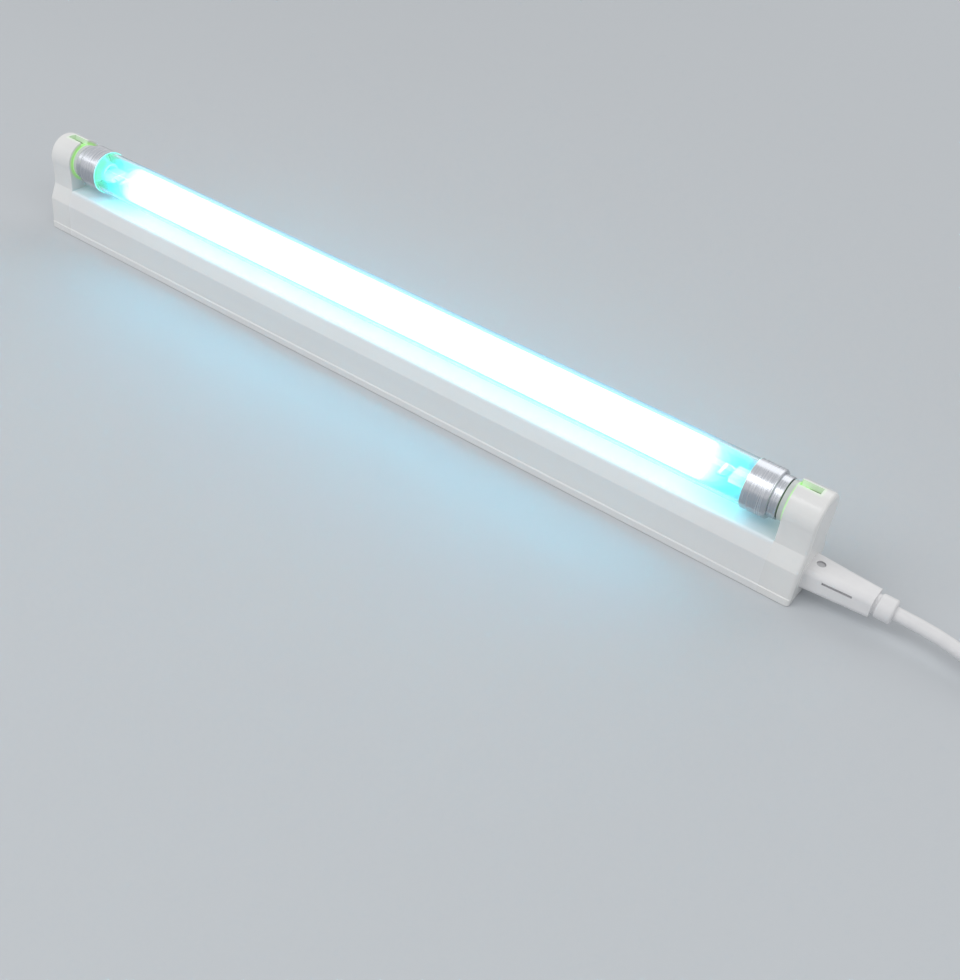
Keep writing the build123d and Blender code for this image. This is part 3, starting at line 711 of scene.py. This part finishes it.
class Mesh:
    """New mesh piece while it is being modelled."""

    weld_distance: ClassVar[float] = 1e-7

    def __init__(self, name: str) -> None:
        """Start an empty piece.

        Args:
            name: Name of the finished piece.
        """
        self.name = name
        self.form = bmesh.new()

    def finish(
        self, material: bpy.types.Material, body: Body, slot: str, *nodes: str
    ) -> bpy.types.Object:
        """Close the mesh, dress it and hang it on its body.

        Args:
            material: Material of the whole piece.
            body: Body that the piece moves with.
            slot: Material slot of the record; not used.
            nodes: CAD nodes that the piece stands for.

        Returns:
            The finished object.
        """
        bmesh.ops.remove_doubles(self.form, verts=self.form.verts, dist=self.weld_distance)
        bmesh.ops.recalc_face_normals(self.form, faces=self.form.faces)
        for face in self.form.faces:
            face.smooth = True
        data = bpy.data.meshes.new(self.name)
        self.form.to_mesh(data)
        self.form.free()
        data.materials.append(material)
        piece = bpy.data.objects.new(self.name, data)
        bpy.context.scene.collection.objects.link(piece)
        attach(piece, body.value)
        if nodes:
            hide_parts(*nodes)
        return piece


def dress(finish: Finish, *nodes: str) -> None:
    """Give a finish to CAD nodes that keep their shape.

    Args:
        finish: Finish of the nodes.
        nodes: Names of the CAD nodes.
    """
    for name in nodes:
        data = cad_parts[name].data
        data.materials.clear()
        data.materials.append(finish.material())
        LOG.info("dressed %s in %s", name, finish.name)


def both_ends(name: str) -> list[str]:
    """Return the names of a piece that each end of the lamp has."""
    return [f"{side.prefix}_{name}" for side in Side]


@dataclass
class LampTube:
    """Quartz tube with its caps, stems, wound cathodes and lit discharge."""

    arc_half_length: float = 118.0 * MM
    arc_end_length: float = 5.0 * MM
    arc_radius: float = 6.1 * MM
    haze_half_length: float = 118.0 * MM
    haze_end_length: float = 8.0 * MM
    haze_radii: tuple[float, ...] = (6.17 * MM, 6.24 * MM, 6.31 * MM, 6.37 * MM, 6.43 * MM)
    haze_step: float = 3.0 * MM
    coil_radius: float = 0.42 * MM
    coil_wire: float = 0.1 * MM
    coil_turns: int = 11
    coil_margin: float = 0.2 * MM
    steps_per_turn: int = 14
    wire_sides: int = 7
    round_segments: int = 64
    round_rings: int = 32
    middle_width: float = 0.001 * MM

    def build(self) -> list[bpy.types.Object]:
        """Model the new pieces and dress the CAD ones.

        Returns:
            The new pieces.
        """
        dress(QUARTZ, "glass_tube")
        dress(CAP_ALUMINIUM, *both_ends("lamp_cap"))
        dress(PLATE_INSULATOR, *both_ends("pin_plate"))
        dress(PIN_BRASS, *both_ends("pins"))
        dress(STEM_GLASS, *both_ends("stem"))
        dress(LEAD_WIRE, *both_ends("leads"))
        arc = self.discharge(ARC_GLOW, self.arc_half_length, self.arc_end_length, self.arc_radius)
        return [arc, *self.haze(), *[self.cathode(side) for side in Side]]

    def haze(self) -> list[bpy.types.Object]:
        """Return the thin layers of light round the arc, each longer than the one inside it."""
        layers = []
        for index, radius in enumerate(self.haze_radii):
            share = index / (len(self.haze_radii) - 1)
            colour = Vector(ARC_GLOW.colour).lerp(HAZE_GLOW.colour, share)
            glow = replace(HAZE_GLOW, name=f"{HAZE_GLOW.name}_{index + 1}", colour=tuple(colour))
            half_length = self.haze_half_length + index * self.haze_step
            layers.append(self.discharge(glow, half_length, self.haze_end_length, radius))
        return layers

    def discharge(
        self, glow: DischargeGlow, half_length: float, end: float, radius: float
    ) -> bpy.types.Object:
        """Model one layer of the glowing vapour, a column with round ends.

        Args:
            glow: Its light.
            half_length: Half the length of its straight part.
            end: Length of each round end.
            radius: Radius of the straight part.

        Returns:
            The layer.
        """
        mesh = Mesh(glow.name)
        size = Matrix.Diagonal((end, radius, radius, 1.0))
        turn = Matrix.Rotation(math.pi / 2, 4, "Y")
        place = Matrix.Translation((0, 0, AXIS_HEIGHT)) @ size @ turn
        bmesh.ops.create_uvsphere(
            mesh.form,
            u_segments=self.round_segments,
            v_segments=self.round_rings,
            radius=1.0,
            matrix=place,
        )
        # The halves of the sphere move apart, and the ring between them stays
        for side in Side:
            verts = [vert for vert in mesh.form.verts if vert.co.x * side.value > self.middle_width]
            bmesh.ops.translate(mesh.form, verts=verts, vec=(half_length * side.value, 0, 0))
        return mesh.finish(glow.material(), Body.LAMP, "quartz")

    def cathode(self, side: Side) -> bpy.types.Object:
        """Return one wound cathode, in place of its plain outer shape.

        Args:
            side: End of the lamp.

        Returns:
            The wound wire.
        """
        node = f"{side.prefix}_cathode"
        low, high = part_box(node)
        middle = (low + high) / 2
        start = Vector((middle.x, low.y + self.coil_margin, middle.z))
        length = high.y - low.y - 2 * self.coil_margin
        steps = self.steps_per_turn * self.coil_turns
        mesh = Mesh(f"{node}_coil")
        place = Matrix.Translation(start + Vector((self.coil_radius, 0, 0)))
        ring = bmesh.ops.create_circle(
            mesh.form, segments=self.wire_sides, radius=self.coil_wire, matrix=place
        )
        bmesh.ops.spin(
            mesh.form,
            geom=ring["verts"] + mesh.form.edges[:],
            axis=(0, 1, 0),
            cent=start,
            dvec=(0, length / steps, 0),
            angle=2 * math.pi * self.coil_turns,
            steps=steps,
        )
        open_edges = [edge for edge in mesh.form.edges if edge.is_boundary]
        bmesh.ops.holes_fill(mesh.form, edges=open_edges, sides=self.wire_sides)
        return mesh.finish(CATHODE_COAT.material(), Body.LAMP, "cathode_coil", node)


@dataclass
class Batten:
    """White channel on its tray, with moulded end caps and turning lampholders."""

    def build(self) -> list[bpy.types.Object]:
        """Dress the CAD pieces.

        Returns:
            No new pieces.
        """
        dress(BATTEN_WHITE, "housing")
        dress(TRAY_WHITE, "base_tray")
        dress(HOLDER_WHITE, *both_ends("end_cap"))
        dress(ROTOR_LIT_GREEN, *both_ends("rotor"))
        dress(CONTACT_STRIP, *both_ends("contacts"))
        return []


@dataclass
class Ballast:
    """Board, its components and the wiring inside the batten."""

    finishes: dict[str, Finish] = field(
        default_factory=lambda: {
            "ballast_board": BOARD_GREEN,
            "choke_core": FERRITE,
            "choke_winding": COPPER_WINDING,
            "smoothing_capacitor": CAPACITOR_SLEEVE,
            "film_capacitors": CAPACITOR_BLOCK,
            "transistors": CHIP_BLACK,
            "drive_ring": FERRITE,
            "diodes": CHIP_BLACK,
            "left_lamp_wires": LAMP_WIRE,
            "right_lamp_wires": LAMP_WIRE,
            "inlet_wires": INLET_WIRE,
            "inlet_pins": PIN_BRASS,
        }
    )

    def build(self) -> list[bpy.types.Object]:
        """Dress the CAD pieces.

        Returns:
            No new pieces.
        """
        for name, finish in self.finishes.items():
            dress(finish, name)
        return []


class Leg(Enum):
    """Stretch of one turn of the hank.

    Each holds its number of points, the folds that its centre starts and ends at, from the
    left one, and the angles in degrees that it starts and ends at.
    """

    NEAR_RUN = (4, 0, 1, -90.0, -90.0)
    RIGHT_FOLD = (12, 1, 1, -90.0, 90.0)
    FAR_RUN = (4, 1, 0, 90.0, 90.0)
    LEFT_FOLD = (12, 0, 0, 90.0, 270.0)

    @property
    def order(self) -> int:
        """Number of stretches of the turn before this one."""
        return list(Leg).index(self)


@dataclass(frozen=True)
class Turn:
    """Place of one turn in the hank's section, and the travel over which it moves to the next.

    Travel counts stretches of the turn, from the start of the near run.
    """

    fold: float
    height: float
    leaves: float = 4.0
    arrives: float = 4.5

    def moved(self, following: "Turn", travel: float) -> tuple[float, float]:
        """Return the fold radius and the height on the way to the following turn."""
        share = min(max((travel - self.leaves) / (self.arrives - self.leaves), 0.0), 1.0)
        fold = self.fold + share * (following.fold - self.fold)
        return fold, self.height + share * (following.height - self.height)


OUTER_FOLD = 16.8 * MM
INNER_FOLD = 12.6 * MM
HANK_TURNS = (
    Turn(OUTER_FOLD, 2.1 * MM, 2.9, 3.75),
    Turn(INNER_FOLD, 2.1 * MM, 2.35, 3.15),
    Turn(INNER_FOLD, 6.3 * MM, 2.35, 3.15),
    Turn(INNER_FOLD, 10.5 * MM, 2.35, 3.15),
    Turn(INNER_FOLD, 14.7 * MM, 1.95, 2.45),
    Turn(OUTER_FOLD, 14.7 * MM, 1.25, 1.9),
    Turn(OUTER_FOLD, 10.5 * MM, 1.25, 1.9),
    Turn(OUTER_FOLD, 6.3 * MM),
)


@dataclass
class MainsLead:
    """White lead: moulded connector, cord folded into a tied hank, and plug."""

    diameter: float = 4.2 * MM
    length: float = 1.364
    route: tuple[Point, ...] = (
        (0.1835, 0.0, 0.008),
        (0.1975, 0.0, 0.008),
        (0.2115, -0.0022, 0.0052),
        (0.2245, -0.0078, 0.0021),
        (0.2365, -0.0078, 0.0021),
    )
    tail: tuple[Point, ...] = (
        (0.289, -0.0078, 0.0063),
        (0.304, -0.0078, 0.0064),
        (0.319, -0.0024, 0.0066),
        (0.336, 0.006, 0.00685),
        (0.349, 0.006, 0.00685),
    )
    fold_ends: tuple[float, float] = (0.249, 0.289)
    hank_middle: float = 0.009
    tie_thickness: float = 0.4 * MM
    tie_lift: float = 0.62 * MM
    band_lift: float = 0.465 * MM
    band_segments: int = 6
    cord_bevel_steps: int = 6
    cord_route_steps: int = 4

    def build(self) -> list[bpy.types.Object]:
        """Lay the cord and its tie, then dress the CAD pieces at its ends.

        Returns:
            The new pieces.
        """
        dress(CONNECTOR_WHITE, "cord_connector", "plug_body")
        dress(PIN_BRASS, "connector_sockets")
        dress(PLUG_METAL, "plug_pins")
        band = self.tie()
        return [band, self.cord()]

    def turn_points(self) -> list[Point]:
        """Return the points of the hank's turns; the last one runs on into the tail."""
        points = []
        for turn, following in zip(HANK_TURNS, HANK_TURNS[1:]):
            for leg in Leg:
                points += self.leg_points(turn, following, leg)
        return points + self.leg_points(HANK_TURNS[-1], HANK_TURNS[-1], Leg.NEAR_RUN)

    def leg_points(self, turn: Turn, following: Turn, leg: Leg) -> list[Point]:
        """Return the points of one stretch of a turn.

        Args:
            turn: The turn.
            following: The turn that comes after it.
            leg: The stretch.

        Returns:
            The points in metres.
        """
        count, start, end, angle, end_angle = leg.value
        left, right = self.fold_ends
        points = []
        for step in range(count):
            share = step / count
            fold, height = turn.moved(following, leg.order + share)
            direction = math.radians(angle + share * (end_angle - angle))
            centre = left + (right - left) * (start + share * (end - start))
            # The near run rises at its middle, where the band passes under it
            at_tie = leg is Leg.NEAR_RUN and 2 * step == count
            along = centre + fold * math.cos(direction)
            across = self.hank_middle + fold * math.sin(direction)
            points.append((along, across, height + at_tie * self.tie_lift))
        return points

    def tie(self) -> bpy.types.Object:
        """Return the band round the near run, thin and rounded where the plain one is square."""
        low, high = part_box("cord_tie")
        room = Vector((0, 2 * self.tie_thickness, 2 * self.tie_thickness))
        size = Matrix.Diagonal((*(high - low + room), 1.0))
        middle = (low + high) / 2 + Vector((0, 0, self.band_lift))
        mesh = Mesh("tie_band")
        bmesh.ops.create_cube(mesh.form, size=1.0, matrix=Matrix.Translation(middle) @ size)
        open_ends = [face for face in mesh.form.faces if round(abs(face.normal.x))]
        bmesh.ops.delete(mesh.form, geom=open_ends, context="FACES_ONLY")
        corners = [edge for edge in mesh.form.edges if edge.verts[0].co.x != edge.verts[1].co.x]
        bmesh.ops.bevel(
            mesh.form,
            geom=corners,
            offset=self.diameter / 2,
            affect="EDGES",
            segments=self.band_segments,
            profile=0.5,
            material=-1,
        )
        bmesh.ops.solidify(mesh.form, geom=mesh.form.faces[:], thickness=self.tie_thickness)
        return mesh.finish(TIE_GREY.material(), Body.FIXTURE, "tie_grey", "cord_tie")

    def cord(self) -> bpy.types.Object:
        """Return the cord from the connector's collar to the plug's sleeve.


        Returns:
            The cord.
        """
        data = bpy.data.curves.new("mains_cord", "CURVE")
        data.dimensions = "3D"
        data.bevel_depth = self.diameter / 2
        data.bevel_resolution = self.cord_bevel_steps
        data.use_fill_caps = True
        data.resolution_u = self.cord_route_steps
        points = [*self.route, *self.turn_points(), *self.tail]
        spline = data.splines.new("NURBS")
        spline.points.add(len(points) - 1)
        for target, point in zip(spline.points, points):
            target.co = (*point, 1.0)
        spline.order_u = 3
        spline.use_endpoint_u = True
        data.materials.append(CORD_WHITE.material())
        piece = bpy.data.objects.new("mains_cord", data)
        bpy.context.scene.collection.objects.link(piece)
        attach(piece, Body.FIXTURE.value)
        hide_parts("cord_lead", "cord_hank")
        return piece


@dataclass(frozen=True)
class SoftLight:
    """Square soft light that faces the lamp, with its power in watts."""

    name: str
    place: Point
    size: float
    power: float


@dataclass
class Studio:
    """Pale floor, soft lights and the camera at the photograph's angle."""

    floor_size: float = 8.0
    floor_tint: Colour = (0.56, 0.59, 0.62)
    floor_contrast: float = 1.02
    floor_drop: float = 0.2 * MM
    floor_lift: float = 0.5
    sky_light: float = 0.42
    backdrop: float = 0.92
    camera_place: Point = (0.21931, -0.295115, 0.243317)
    camera_forward: Point = (-0.40255, 0.67699, -0.61614)
    camera_up: Point = (-0.43287, 0.4523, 0.77978)
    camera_lens: float = 47.057
    camera_near: float = 0.01
    lights: tuple[SoftLight, ...] = (
        SoftLight("key_light", (-0.55, -0.75, 1.0), size=0.9, power=7.5),
        SoftLight("fill_light", (0.8, -0.35, 0.7), size=0.7, power=2.2),
        SoftLight("back_light", (0.1, 0.9, 0.8), size=0.9, power=2.5),
    )

    def build(self) -> None:
        """Make the floor, the lights, the sky and the camera."""
        bpy.context.scene.view_settings.view_transform = "Standard"
        self.floor()
        self.sky()
        for light in self.lights:
            self.hang(light)
        self.camera()

    def floor(self) -> None:
        """Lay the floor."""
        form = bmesh.new()
        bmesh.ops.create_grid(form, x_segments=1, y_segments=1, size=self.floor_size / 2)
        data = bpy.data.meshes.new("floor")
        form.to_mesh(data)
        form.free()
        tint = self.floor_tint
        pale = tuple(self.floor_contrast * value for value in tint)
        finish = FloorPaper(
            "floor_paper", pale, tint, grain=6.0, gloss=(0.75, 0.85), relief=10 * MICRON,
            glow=tint, glow_strength=self.floor_lift,
        )
        data.materials.append(finish.material())
        floor = bpy.data.objects.new("floor", data)
        floor.location.z = -self.floor_drop
        bpy.context.scene.collection.objects.link(floor)

    def sky(self) -> None:
        """Light the scene evenly, with a white backdrop behind it."""
        world = bpy.data.worlds.new("studio")
        bpy.context.scene.world = world
        world.use_nodes = True
        tree = world.node_tree
        background = tree.nodes["Background"]
        background.inputs["Color"].default_value = (1.0, 1.0, 1.0, 1.0)
        level = tree.nodes.new("ShaderNodeMapRange")
        level.inputs["To Min"].default_value = self.sky_light
        level.inputs["To Max"].default_value = self.backdrop
        tree.links.new(seen_rays(tree), level.inputs["Value"])
        tree.links.new(level.outputs["Result"], background.inputs["Strength"])

    def hang(self, light: SoftLight) -> None:
        """Hang one soft light so that it faces the lamp.

        Args:
            light: The light.
        """
        data = bpy.data.lights.new(light.name, "AREA")
        data.size = light.size
        data.energy = light.power
        panel = bpy.data.objects.new(light.name, data)
        panel.location = light.place
        panel.rotation_euler = (-Vector(light.place)).to_track_quat("-Z", "Y").to_euler()
        bpy.context.scene.collection.objects.link(panel)

    def camera(self) -> None:
        """Stand the camera where the photograph was taken from."""
        data = bpy.data.cameras.new("camera")
        data.lens = self.camera_lens
        data.clip_start = self.camera_near
        camera = bpy.data.objects.new("camera", data)
        forward = Vector(self.camera_forward).normalized()
        right = forward.cross(Vector(self.camera_up)).normalized()
        axes = Matrix((right, right.cross(forward), -forward)).transposed().to_4x4()
        camera.matrix_world = Matrix.Translation(self.camera_place) @ axes
        bpy.context.scene.collection.objects.link(camera)
        bpy.context.scene.camera = camera


def main() -> None:
    """Build the scene in order and report each new piece."""
    logging.basicConfig(level=logging.INFO, format="%(name)s: %(message)s")
    Studio().build()
    for assembly in (MainsLead(), LampTube(), Batten(), Ballast()):
        for piece in assembly.build():
            LOG.info("%s made %s", type(assembly).__name__, piece.name)


if __name__ == "__main__":
    main()
